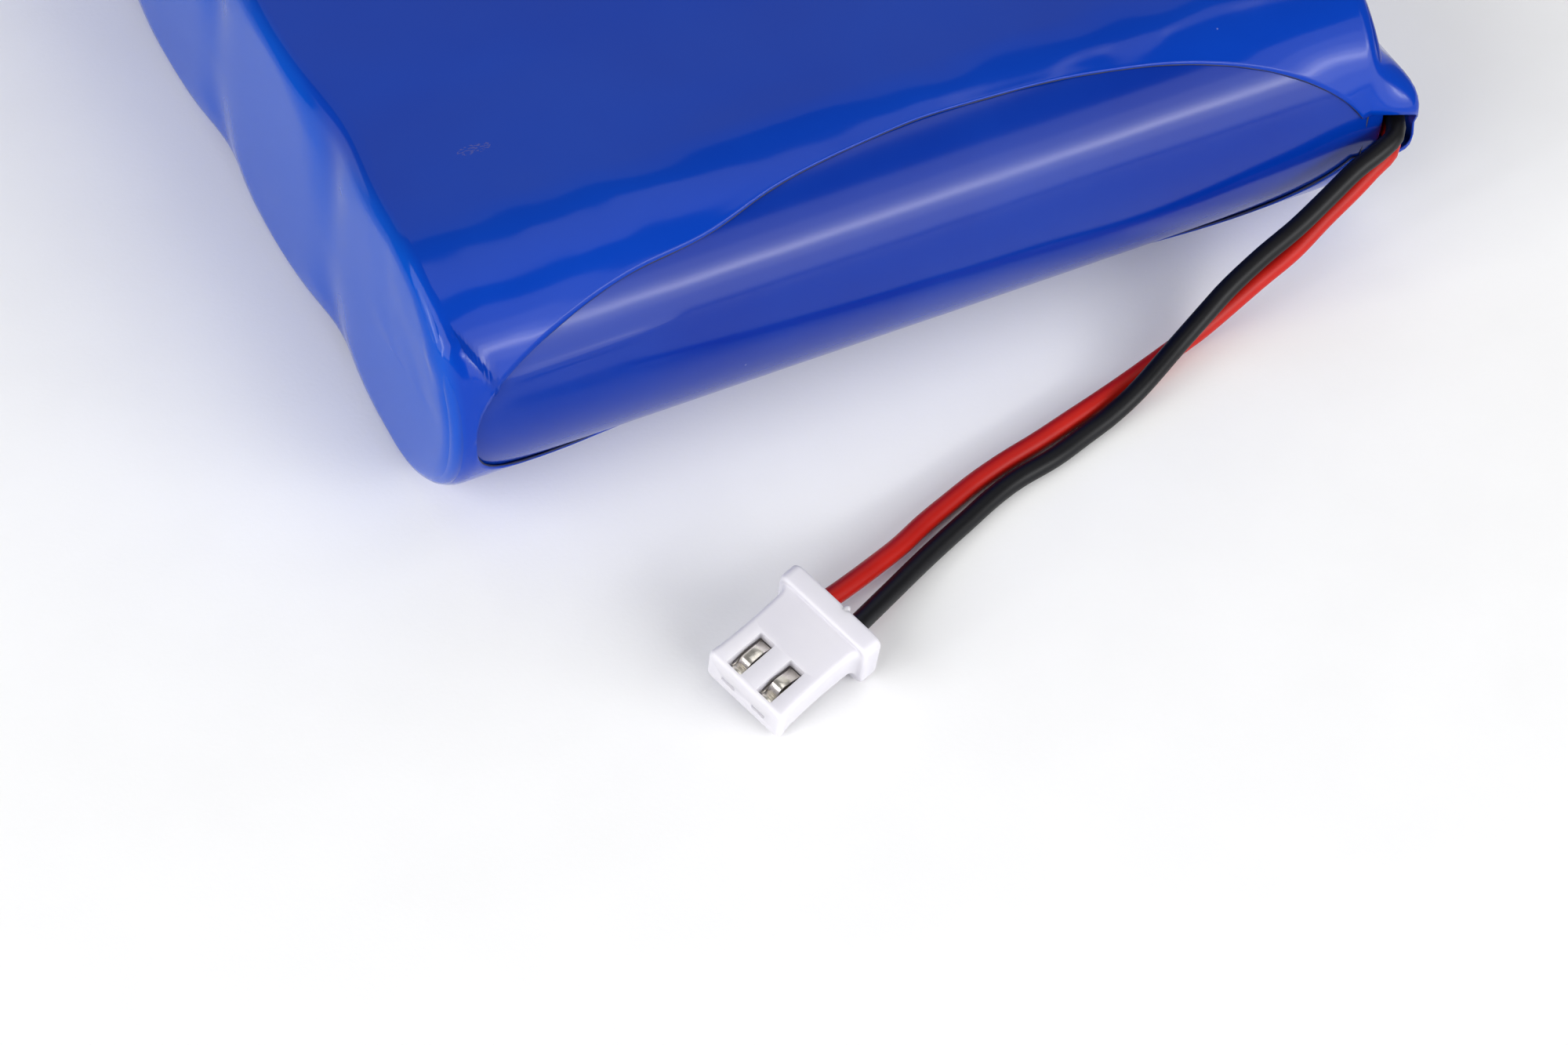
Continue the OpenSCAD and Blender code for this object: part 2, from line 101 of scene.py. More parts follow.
def mesh_object(name: str, points: Sequence, faces: Sequence, shade_smooth: bool = True) -> Piece:
    """Makes a linked mesh object from points in millimetres.

    Args:
        name: the piece's name.
        points: vertex positions in millimetres.
        faces: vertex indices of each face.
        shade_smooth: whether its faces are shaded smooth.

    Returns:
        The new object.
    """
    mesh = bpy.data.meshes.new(name)
    mesh.from_pydata([tuple(c * MM for c in p) for p in points], [], [tuple(f) for f in faces])
    mesh.validate()
    mesh.update()
    made = bpy.data.objects.new(name, mesh)
    bpy.context.scene.collection.objects.link(made)
    for polygon in mesh.polygons:
        polygon.use_smooth = shade_smooth
    return made


def clean(made: Piece, weld: float = 0.002) -> None:
    """Welds points closer than weld millimetres and turns all faces outwards."""
    bm = bmesh.new()
    bm.from_mesh(made.data)
    bmesh.ops.remove_doubles(bm, verts=bm.verts, dist=weld * MM)
    bmesh.ops.dissolve_degenerate(bm, edges=bm.edges, dist=weld * MM * 0.1)
    bmesh.ops.recalc_face_normals(bm, faces=bm.faces)
    bm.to_mesh(made.data)
    bm.free()


def apply_modifiers(made: Piece) -> None:
    """Turns the object's modifiers into plain mesh."""
    graph = bpy.context.evaluated_depsgraph_get()
    result = bpy.data.meshes.new_from_object(made.evaluated_get(graph))
    made.modifiers.clear()
    made.data = result


def absorb(made: Piece, other: Piece) -> None:
    """Adds another new object's mesh to this one and removes that object."""
    bm = bmesh.new()
    bm.from_mesh(made.data)
    bm.from_mesh(other.data)
    bm.to_mesh(made.data)
    bm.free()
    bpy.data.objects.remove(other, do_unlink=True)


def thicken(made: Piece, thickness: float) -> None:
    """Gives a skin a thickness in millimetres, inwards from its face."""
    shell = made.modifiers.new("thickness", "SOLIDIFY")
    shell.thickness = thickness * MM
    shell.offset = -1
    apply_modifiers(made)


def soften(made: Piece, width: float, segments: int, angle: float = 30.0) -> None:
    """Rounds the edges that turn by more than angle degrees, by width millimetres."""
    bevel = made.modifiers.new("soften", "BEVEL")
    bevel.width, bevel.segments = width * MM, segments
    bevel.limit_method, bevel.angle_limit = "ANGLE", math.radians(angle)
    apply_modifiers(made)


def tube_faces(rings: int, count: int, capped: bool = True) -> Faces:
    """Faces of a tube through closed rings.

    Args:
        rings: how many rings there are.
        count: points in each ring.
        capped: whether the two end rings are closed.

    Returns:
        The quads between neighbouring rings, then the two caps.
    """
    faces = [
        (i * count + k, i * count + (k + 1) % count, (i + 1) * count + (k + 1) % count, (i + 1) * count + k)
        for i in range(rings - 1) for k in range(count)
    ]
    if capped:
        faces.append(tuple(reversed(range(count))))
        faces.append(tuple((rings - 1) * count + k for k in range(count)))
    return faces


def smooth_route(points: Sequence[Point], step: float = 0.6) -> list[Vector]:
    """Points on a smooth curve through a route, about one step apart.

    Args:
        points: the route, in millimetres.
        step: distance between neighbouring points, in millimetres.

    Returns:
        The points of a centripetal-like spline through the route.
    """
    knots = [Vector(p) for p in points]
    knots = [2 * knots[0] - knots[1], *knots, 2 * knots[-1] - knots[-2]]
    line: list[Vector] = []
    for a, b, c, d in zip(knots, knots[1:], knots[2:], knots[3:]):
        count = max(2, round((c - b).length / step))
        for k in range(count):
            t = k / count
            line.append(0.5 * (2 * b + (c - a) * t + (2 * a - 5 * b + 4 * c - d) * t**2
                               + (3 * b - a - 3 * c + d) * t**3))
    line.append(knots[-2])
    return line


def sweep(name: str, line: Sequence[Vector], radius: Callable[[int], float], sides: int = 28) -> Piece:
    """Sweeps a closed round tube along a line.

    Args:
        name: the piece's name.
        line: centreline points in millimetres.
        radius: radius in millimetres at each point's number.
        sides: points round the tube.

    Returns:
        The tube, with flat ends.
    """
    points: list[Vector] = []
    for i, p in enumerate(line):
        ahead = (line[min(i + 1, len(line) - 1)] - line[max(i - 1, 0)]).normalized()
        side = Vector((0, 0, 1)).cross(ahead).normalized()
        top = ahead.cross(side)
        for k in range(sides):
            a = math.tau * k / sides
            points.append(p + radius(i) * (math.cos(a) * side + math.sin(a) * top))
    made = mesh_object(name, points, tube_faces(len(line), sides))
    clean(made, 0.0005)
    return made


# ------------------------------------------------------------------ finishes


class Sheet:
    """A material's or group's node tree, with short calls that add and join nodes."""

    def __init__(self, tree: bpy.types.NodeTree) -> None:
        """Keeps the tree that nodes are added to."""
        self.tree = tree

    def add(self, kind: str, **settings: object) -> bpy.types.Node:
        """Adds a node, and sets its properties by name."""
        node = self.tree.nodes.new(kind)
        for key, value in settings.items():
            setattr(node, key, value)
        return node

    def join(self, source: Socket, target: Socket) -> None:
        """Links one socket to another."""
        self.tree.links.new(source, target)

    def math(self, operation: str, a: object, b: object = None, c: object = None) -> Socket:
        """Adds a math node fed by sockets or numbers, and returns its result."""
        node = self.add("ShaderNodeMath", operation=operation)
        for socket, value in zip(node.inputs, (a, b, c)):
            if isinstance(value, Socket):
                self.join(value, socket)
            elif value is not None:
                socket.default_value = value
        return node.outputs[0]

    def mix(self, factor: Socket, a: object, b: object) -> Socket:
        """Mixes two colours, given as sockets or linear colours, and returns the result."""
        node = self.add("ShaderNodeMix", data_type="RGBA")
        self.join(factor, node.inputs["Factor"])
        for socket, value in ((node.inputs[6], a), (node.inputs[7], b)):
            if isinstance(value, Socket):
                self.join(value, socket)
            else:
                socket.default_value = (*value, 1)
        return node.outputs[2]

    def stretched_noise(self, vector: Socket, scale: Point) -> Socket:
        """Adds noise with its own scale along each axis, in waves per metre, and returns its height."""
        drawn = self.add("ShaderNodeMapping")
        drawn.inputs["Scale"].default_value = scale
        self.join(vector, drawn.inputs["Vector"])
        waves = self.add("ShaderNodeTexNoise")
        waves.inputs["Scale"].default_value = 1.0
        self.join(drawn.outputs[0], waves.inputs["Vector"])
        return waves.outputs[0]


class Effects:
    """Shader node groups that several finishes share. Each is built once."""

    @staticmethod
    def _group(
        name: str, inputs: dict[str, float], outputs: Sequence[str]
    ) -> tuple[Sheet, bpy.types.Node, bpy.types.Node]:
        """Starts a group with number inputs, a vector input and number outputs."""
        tree = bpy.data.node_groups.new(name, "ShaderNodeTree")
        tree.interface.new_socket("Vector", in_out="INPUT", socket_type="NodeSocketVector")
        for key, value in inputs.items():
            socket = tree.interface.new_socket(key, in_out="INPUT", socket_type="NodeSocketFloat")
            socket.default_value = value
        for key in outputs:
            tree.interface.new_socket(key, in_out="OUTPUT", socket_type="NodeSocketFloat")
        sheet = Sheet(tree)
        return sheet, sheet.add("NodeGroupInput"), sheet.add("NodeGroupOutput")

    @classmethod
    def grain(cls) -> bpy.types.NodeTree:
        """Fine all-over grain, with slow unevenness under it: outputs Height and Mottle."""
        if "grain" in bpy.data.node_groups:
            return bpy.data.node_groups["grain"]
        inputs = {"Fine": 3000.0, "Broad": 120.0, "Share": 0.7}
        sheet, source, sink = cls._group("grain", inputs, ("Height", "Mottle"))
        fine = sheet.add("ShaderNodeTexNoise")
        broad = sheet.add("ShaderNodeTexNoise")
        for node, key, detail in ((fine, "Fine", 2.0), (broad, "Broad", 3.0)):
            sheet.join(source.outputs["Vector"], node.inputs["Vector"])
            sheet.join(source.outputs[key], node.inputs["Scale"])
            node.inputs["Detail"].default_value = detail
        rest = sheet.math("SUBTRACT", 1.0, source.outputs["Share"])
        height = sheet.math("ADD", sheet.math("MULTIPLY", fine.outputs[0], source.outputs["Share"]),
                            sheet.math("MULTIPLY", broad.outputs[0], rest))
        sheet.join(height, sink.inputs["Height"])
        sheet.join(broad.outputs[0], sink.inputs["Mottle"])
        return sheet.tree

    @classmethod
    def dust(cls) -> bpy.types.NodeTree:
        """Sparse specks of dust and small scuffs: output Mask."""
        if "dust" in bpy.data.node_groups:
            return bpy.data.node_groups["dust"]
        sheet, source, sink = cls._group("dust", {"Scale": 420.0, "Amount": 0.03}, ("Mask",))
        cells = sheet.add("ShaderNodeTexVoronoi")
        sheet.join(source.outputs["Vector"], cells.inputs["Vector"])
        sheet.join(source.outputs["Scale"], cells.inputs["Scale"])
        chosen = sheet.add("ShaderNodeSeparateColor")
        sheet.join(cells.outputs["Color"], chosen.inputs[0])
        rare = sheet.math("GREATER_THAN", chosen.outputs[0], 0.9)
        speck = sheet.math("LESS_THAN", cells.outputs["Distance"], source.outputs["Amount"])
        sheet.join(sheet.math("MULTIPLY", rare, speck), sink.inputs["Mask"])
        return sheet.tree


@dataclass(frozen=True)
class Finish:
    """A finish with grain, mottled colour and dust, on one Principled shader.

    Attributes:
        slot: the record's material slot.
        suffix: told apart from other finishes of the same slot by this.
        light, dark: linear colours that the mottle runs between.
        roughness: middle roughness, and how far the mottle moves it.
        metallic: 1 on bare metal.
        grain: scales of the fine and the broad noise, in waves per metre.
        relief: height of the grain in millimetres.
        dust: strength of the dust specks.
        extra: constants for the shader's own sockets.
    """

    slot: str
    light: Colour
    dark: Colour
    roughness: tuple[float, float] = (0.4, 0.1)
    metallic: float = 0.0
    grain: tuple[float, float] = (3000.0, 120.0)
    relief: float = 0.01
    dust: float = 0.0
    suffix: str = "finish"
    extra: dict[str, object] = field(default_factory=dict)

    def build(self) -> bpy.types.Material:
        """Builds the material, once."""
        name = f"{self.slot}_{self.suffix}"
        if name in bpy.data.materials:
            return bpy.data.materials[name]
        material = bpy.data.materials.new(name)
        material.use_nodes = True
        sheet = Sheet(material.node_tree)
        shader = material.node_tree.nodes["Principled BSDF"]
        shader.inputs["Metallic"].default_value = self.metallic
        for key, value in self.extra.items():
            shader.inputs[key].default_value = value
        place = sheet.add("ShaderNodeTexCoord")
        vector = place.outputs["Object"]
        grain = sheet.add("ShaderNodeGroup", node_tree=Effects.grain())
        grain.inputs["Fine"].default_value, grain.inputs["Broad"].default_value = self.grain
        sheet.join(vector, grain.inputs["Vector"])
        colour = sheet.mix(self.contrast(sheet, grain.outputs["Mottle"]), self.dark, self.light)
        colour = self.paint(sheet, vector, colour)
        if self.dust:
            dust = sheet.add("ShaderNodeGroup", node_tree=Effects.dust())
            sheet.join(vector, dust.inputs["Vector"])
            mask = sheet.math("MULTIPLY", dust.outputs["Mask"], self.dust)
            colour = sheet.mix(mask, colour, (0.5, 0.52, 0.6))
        sheet.join(colour, shader.inputs["Base Color"])
        middle, swing = self.roughness
        uneven = sheet.math("MULTIPLY_ADD", grain.outputs["Mottle"], 2 * swing, middle - swing)
        sheet.join(uneven, shader.inputs["Roughness"])
        bump = sheet.add("ShaderNodeBump")
        bump.inputs["Distance"].default_value = self.relief * MM
        sheet.join(self.height(sheet, vector, grain.outputs["Height"]), bump.inputs["Height"])
        sheet.join(bump.outputs["Normal"], shader.inputs["Normal"])
        return material

    def contrast(self, sheet: Sheet, mottle: Socket) -> Socket:
        """Spreads the mottle's middle over the whole range from 0 to 1."""
        node = sheet.add("ShaderNodeMapRange")
        node.inputs["From Min"].default_value = 0.3
        node.inputs["From Max"].default_value = 0.7
        sheet.join(mottle, node.inputs["Value"])
        return node.outputs[0]

    def paint(self, sheet: Sheet, vector: Socket, colour: Socket) -> Socket:
        """Colour after the finish's own marks. The plain finish has none."""
        return colour

    def height(self, sheet: Sheet, vector: Socket, height: Socket) -> Socket:
        """Height after the finish's own relief. The plain finish has only its grain."""
        return height


@dataclass(frozen=True)
class FilmFinish(Finish):
    """Blue shrink film: fine orange-peel grain and faint drawn lines from shrinking.

    Attributes:
        ripple: strength of the slow ripples.
        end_painted_light: linear colour over the left end, a paler painted light that stands for the stronger
            light falling on that end.
        scuffed: strength of the small scuff on the top.
    """

    ripple: float = 0.5
    end_painted_light: Colour = (0.0, 0.065, 0.45)
    scuffed: float = 0.0

    def paint(self, sheet: Sheet, vector: Socket, colour: Socket) -> Socket:
        """Makes the film a little paler over the left end: painted light that stands for the stronger light
        falling on that end.
        """
        rim_x, face_x = -33.3, -34.3
        axes = sheet.add("ShaderNodeSeparateXYZ")
        sheet.join(vector, axes.inputs[0])
        lit_end_mask = sheet.add("ShaderNodeMapRange", interpolation_type="SMOOTHSTEP")
        lit_end_mask.inputs["From Min"].default_value = rim_x * MM
        lit_end_mask.inputs["From Max"].default_value = face_x * MM
        sheet.join(axes.outputs["X"], lit_end_mask.inputs["Value"])
        # painted light: the paler blue over the left end stands for the stronger light falling there
        colour = sheet.mix(lit_end_mask.outputs[0], colour, self.end_painted_light)
        return self.scuff(sheet, vector, colour) if self.scuffed else colour

    def scuff(self, sheet: Sheet, vector: Socket, colour: Socket) -> Socket:
        """Adds one small ragged scuff near the left of the top."""
        squeeze = 2.6
        middle = (-26.7 * MM, -23.6 * squeeze * MM, 0.0)
        radius = 1.1 * MM
        share = 0.55
        squeezed = sheet.add("ShaderNodeVectorMath", operation="MULTIPLY")
        squeezed.inputs[1].default_value = (1.0, squeeze, 0.0)
        sheet.join(vector, squeezed.inputs[0])
        away = sheet.add("ShaderNodeVectorMath", operation="DISTANCE")
        away.inputs[1].default_value = middle
        sheet.join(squeezed.outputs[0], away.inputs[0])
        ragged = sheet.add("ShaderNodeTexNoise")
        ragged.inputs["Scale"].default_value = 3400.0
        sheet.join(squeezed.outputs[0], ragged.inputs["Vector"])
        near = sheet.math("LESS_THAN", away.outputs["Value"], radius)
        mask = sheet.math("MULTIPLY", near, sheet.math("GREATER_THAN", ragged.outputs[0], share))
        return sheet.mix(sheet.math("MULTIPLY", mask, self.scuffed), colour, (0.16, 0.13, 0.2))

    def height(self, sheet: Sheet, vector: Socket, height: Socket) -> Socket:
        """Adds slow ripples, longer along the row than along the cells."""
        ripples = sheet.stretched_noise(vector, (420.0, 110.0, 160.0))
        return sheet.math("MULTIPLY_ADD", ripples, self.ripple, height)


@dataclass(frozen=True)
class MetalFinish(Finish):
    """Plated metal with fine drawn lines along one way."""

    def height(self, sheet: Sheet, vector: Socket, height: Socket) -> Socket:
        """Adds drawn lines."""
        lines = sheet.stretched_noise(vector, (300.0, 9000.0, 9000.0))
        return sheet.math("MULTIPLY_ADD", lines, 0.5, height)


OUTER_FILM = FilmFinish(
    "outer_film", srgb(2, 56, 162), srgb(0, 50, 155), (0.11, 0.03), grain=(2600.0, 70.0),
    relief=0.0012, dust=0.2, ripple=4.0, scuffed=0.35, extra={"IOR": 1.29})
INNER_FILM = FilmFinish(
    "inner_film", srgb(2, 46, 142), srgb(0, 39, 134), (0.14, 0.04), grain=(2600.0, 90.0),
    relief=0.0012, dust=0.2, ripple=3.0, extra={"IOR": 1.35})
# painted shade and dust: the dark line under the mouth's cut edge stands for the shadow in the gap there as
# well as dirt
EDGE_DUST_AND_SHADE = Finish("outer_film", srgb(26, 32, 70), srgb(10, 14, 44), (0.6, 0.1),
                   grain=(2000.0, 500.0), relief=0.01, suffix="edge_dust_and_shade")
RED_LEAD = Finish("red_insulation", srgb(182, 24, 12), srgb(166, 17, 8), (0.42, 0.05),
                  grain=(2500.0, 160.0), relief=0.002, extra={"IOR": 1.33})
BLACK_LEAD = Finish("black_insulation", srgb(11, 11, 15), srgb(5, 5, 9), (0.42, 0.05),
                    grain=(2500.0, 160.0), relief=0.002, dust=0.5, extra={"IOR": 1.33})
PLUG_NYLON = Finish("plug_nylon", srgb(215, 213, 219), srgb(209, 207, 215), (0.38, 0.05),
                    grain=(2200.0, 200.0), relief=0.002,
                    extra={"Subsurface Weight": 0.35, "Subsurface Radius": (1.0, 1.0, 1.1),
                           "Subsurface Scale": 0.0012})
CONTACT = MetalFinish("tinned_contact", srgb(244, 240, 232), srgb(212, 206, 194), (0.26, 0.06), metallic=1.0,
                      grain=(5000.0, 700.0), relief=0.006)

INNER_FINISHES: dict[str, Finish] = {
    finish.slot: finish
    for finish in (
        OUTER_FILM, INNER_FILM, RED_LEAD, BLACK_LEAD, PLUG_NYLON, CONTACT,
        Finish("cell_jacket", srgb(52, 150, 128), srgb(40, 132, 112), (0.25, 0.05), relief=0.006),
        MetalFinish("cell_steel", srgb(206, 206, 208), srgb(178, 178, 182), (0.3, 0.08), metallic=1.0),
        Finish("washer_paper", srgb(240, 238, 230), srgb(222, 220, 210), (0.85, 0.05), relief=0.02),
        Finish("gasket", srgb(70, 70, 74), srgb(52, 52, 56), (0.6, 0.06)),
        MetalFinish("electrode", srgb(92, 92, 96), srgb(70, 70, 74), (0.5, 0.08), metallic=0.6),
        Finish("glue", srgb(244, 242, 226), srgb(228, 226, 206), (0.35, 0.08), relief=0.03,
               extra={"Subsurface Weight": 0.3, "Subsurface Scale": 0.001}),
        MetalFinish("nickel_strip", srgb(214, 210, 200), srgb(184, 180, 170), (0.32, 0.08), metallic=1.0),
        Finish("fish_paper", srgb(150, 164, 168), srgb(128, 142, 148), (0.8, 0.06),
               grain=(6000.0, 300.0), relief=0.03),
        Finish("board_tape", srgb(214, 150, 40), srgb(190, 126, 26), (0.2, 0.05)),
        Finish("circuit_board", srgb(26, 112, 62), srgb(16, 88, 46), (0.3, 0.06),
               grain=(4000.0, 500.0), relief=0.02),
        Finish("chip_plastic", srgb(40, 40, 43), srgb(28, 28, 30), (0.6, 0.06),
               grain=(9000.0, 400.0), relief=0.01),
        Finish("passive_ceramic", srgb(196, 168, 126), srgb(168, 140, 100), (0.45, 0.08)),
        MetalFinish("solder", srgb(224, 224, 228), srgb(196, 196, 202), (0.2, 0.06), metallic=1.0),
        Finish("white_wire", srgb(238, 238, 236), srgb(220, 220, 216), (0.45, 0.05)),
    )
}


def dress(piece: Piece, finish: Finish) -> None:
    """Gives a new piece its finish."""
    piece.data.materials.clear()
    piece.data.materials.append(finish.build())


# ------------------------------------------------------------------ camera, light and floor


@dataclass
class Studio:
    """Camera, pale floor and soft lights. Lengths in millimetres, angles in degrees.

    Attributes:
        position: the camera's place in the row frame.
        azimuth, elevation, roll: the way the camera looks.
        lens: focal length on a sensor 36 mm wide.
    """

    position: Point = (-99.55, -185.6, 193.6)
    azimuth: float = -30.89
    elevation: float = 49.53
    roll: float = 4.82
    lens: float = 93.6

    def camera(self) -> None:
        """Makes the camera at the reference viewing angle."""
        a, e, r = (math.radians(v) for v in (self.azimuth, self.elevation, self.roll))
        back = Vector((math.sin(a) * math.cos(e), -math.cos(a) * math.cos(e), math.sin(e)))
        right = (-back).cross(Vector((0, 0, 1))).normalized()
        up = right.cross(-back)
        across = right * math.cos(r) + up * math.sin(r)
        over = -right * math.sin(r) + up * math.cos(r)
        data = bpy.data.cameras.new("camera")
        data.lens, data.sensor_width = self.lens, 36.0
        data.clip_start, data.clip_end = 0.01, 10.0
        made = bpy.data.objects.new("camera", data)
        place = Matrix((across, over, back)).transposed().to_4x4()
        place.translation = Vector(self.position) * MM
        made.matrix_world = place
        bpy.context.scene.collection.objects.link(made)
        bpy.context.scene.camera = made

    def panel(self, name: str, toward: Point, far: float, size: tuple[float, float], glow: float) -> None:
        """Adds a soft rectangular light panel facing the pack.

        Args:
            name: the light's name.
            toward: the way from the pack to the panel.
            far: distance in millimetres.
            size: width and height in millimetres.
            glow: brightness of its face, where 1 is white.
        """
        data = bpy.data.lights.new(name, "AREA")
        data.shape, data.size, data.size_y = "RECTANGLE", size[0] * MM, size[1] * MM
        data.energy = 4 * glow * size[0] * size[1] * MM * MM
        made = bpy.data.objects.new(name, data)
        way = Vector(toward).normalized()
        made.location = (way * far + Vector((0, -20, 10))) * MM
        made.rotation_euler = way.to_track_quat("Z", "Y").to_euler()
        bpy.context.scene.collection.objects.link(made)

    def lights(self) -> None:
        """Soft light: a key from the left, panels that fade up to a strip in front, dim panels above."""
        self.panel("key", (-0.87, -0.22, 0.45), 560, (480, 480), 2.5)
        self.panel("rim_strip", (-0.93, -0.25, 0.27), 520, (40, 300), 6.0)
        self.panel("strip", (0.333, -0.871, 0.366), 516, (520, 14), 6.5)
        self.panel("strip_glow", (0.333, -0.868, 0.375), 520, (520, 60), 3.0)
        self.panel("front_core", (0.333, -0.872, 0.362), 535, (560, 150), 1.1)
        self.panel("front_middle", (0.333, -0.883, 0.332), 548, (600, 330), 0.9)
        self.panel("front_panel", (0.33, -0.853, 0.402), 560, (700, 480), 1.15)
        self.panel("overhead_near", (0.263, -0.148, 0.954), 609, (300, 190), 1.1)
        self.panel("overhead_far", (0.52, -0.01, 0.854), 635, (90, 120), 0.9)
        self.panel("back_panel", (0.333, 0.62, 0.66), 640, (900, 400), 0.5)
        world = bpy.data.worlds.new("room")
        world.use_nodes = True
        background = world.node_tree.nodes["Background"]
        background.inputs["Color"].default_value = (1, 1, 1, 1)
        background.inputs["Strength"].default_value = 0.2
        bpy.context.scene.world = world

    def floor(self) -> None:
        """A plain pale floor with a faint paper grain."""
        half = 3000.0
        made = mesh_object("floor", [(-half, -half, 0), (half, -half, 0), (half, half, 0), (-half, half, 0)],
                           [(0, 1, 2, 3)], shade_smooth=False)
        made.location.z = -0.02 * MM
        made.data.materials.append(
            Finish("floor_paper", (0.95, 0.95, 0.95), (0.93, 0.93, 0.93), (0.9, 0.05), relief=0.01).build())

    def build(self) -> None:
        """Sets up the whole studio."""
        self.camera()
        self.lights()
        self.floor()
        bpy.context.scene.view_settings.view_transform = "Standard"


# ------------------------------------------------------------------ leads


class LeadColour(Enum):
    """The two leads."""

    RED = "red"
    BLACK = "black"


@dataclass
class Lead:
    """One flexible lead that lies loose from the sleeve's corner to the plug.

    Attributes:
        colour: which lead this is.
        route: points of its centreline in metres, from the sleeve to the plug's contact.
        finish: its insulation.
    """

    colour: LeadColour
    route: Sequence[Point]
    finish: Finish
    diameter: float = 0.0013

    def build(self, on_it: Sequence[str]) -> Piece:
        """Args:
            on_it: names of the CAD nodes and pieces on its far end; not used.

        Returns:
            The lead.
        """
        line = smooth_route([tuple(c / MM for c in p) for p in self.route])
        radius = self.diameter / 2 / MM
        name = f"{self.colour.value}_lead_insulation"
        made = sweep(name, line, lambda i: radius * (1 + 0.012 * noise.noise(Vector((i * 0.11, 3.1, 0)))))
        dress(made, self.finish)
        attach(made, "root")
        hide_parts(f"{self.colour.value}_lead")
        return made


RED_ROUTE = [
    (0.0334, -0.036, 0.0088), (0.033, -0.0372, 0.0087), (0.0321, -0.0383, 0.0085),
    (0.0305, -0.0389, 0.0081), (0.029, -0.0393, 0.0073), (0.0266, -0.0398, 0.006),
    (0.0242, -0.0403, 0.0045), (0.0216, -0.0406, 0.0032), (0.019, -0.041, 0.002),
    (0.017, -0.0414, 0.0013), (0.015, -0.0418, 0.0009), (0.011, -0.0429, 0.0007),
    (0.0081, -0.0437, 0.0007), (0.0054, -0.0444, 0.0007), (0.0027, -0.0451, 0.0007),
    (0.0, -0.0457, 0.0007), (-0.0025, -0.0464, 0.0007), (-0.0049, -0.0473, 0.0008),
    (-0.0073, -0.0483, 0.001), (-0.0097, -0.0495, 0.0013), (-0.0121, -0.0506, 0.0018),
    (-0.0145, -0.0517, 0.0024), (-0.01721, -0.05279, 0.00293), (-0.01873, -0.05331, 0.00284),
]
BLACK_ROUTE = [
    (0.0334, -0.036, 0.0102), (0.033, -0.0372, 0.0102), (0.0322, -0.0384, 0.01),
    (0.0306, -0.039, 0.0097), (0.0288, -0.0393, 0.0091), (0.0265, -0.0398, 0.0079),
    (0.0241, -0.0403, 0.0067), (0.0215, -0.0406, 0.0054), (0.019, -0.041, 0.004),
    (0.017, -0.0416, 0.003), (0.0143, -0.0427, 0.0022), (0.0106, -0.0444, 0.0015),
    (0.0081, -0.0452, 0.0009), (0.0056, -0.0459, 0.0007), (0.003, -0.0467, 0.0007),
    (0.0, -0.0473, 0.0007), (-0.0022, -0.048, 0.0007), (-0.0046, -0.049, 0.0007),
    (-0.0069, -0.05, 0.0008), (-0.0092, -0.0511, 0.001), (-0.0116, -0.0524, 0.0014),
    (-0.0139, -0.0537, 0.0019), (-0.01639, -0.05512, 0.0025), (-0.01791, -0.05563, 0.00241),
]


# ------------------------------------------------------------------ shrink films


@dataclass
class CellRow:
    """Where the cells lie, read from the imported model. Lengths in millimetres."""

    axes: list[float] = field(default_factory=list)
    axis_z: float = 0.0
    right: float = 0.0

    def __post_init__(self) -> None:
        """Reads the cells' jackets and caps."""
        boxes = [box_mm(f"cell_jacket_{k}") for k in range(1, 5)]
        self.axes = [(low.y + high.y) / 2 for low, high in boxes]
        self.axis_z = (boxes[0][0].z + boxes[0][1].z) / 2
        self.right = box_mm("cell_cap_1")[1].x

    def off_axis(self, y: float) -> float:
        """Signed distance along the row from the nearest cell's axis."""
        return min((y - a for a in self.axes), key=abs)

    @property
    def half(self) -> float:
        """Distance from the middle of the row to the outermost cell's axis."""
        return self.axes[-1]

    @property
    def pitch(self) -> float:
        """Distance between neighbouring cells."""
        return self.axes[1] - self.axes[0]


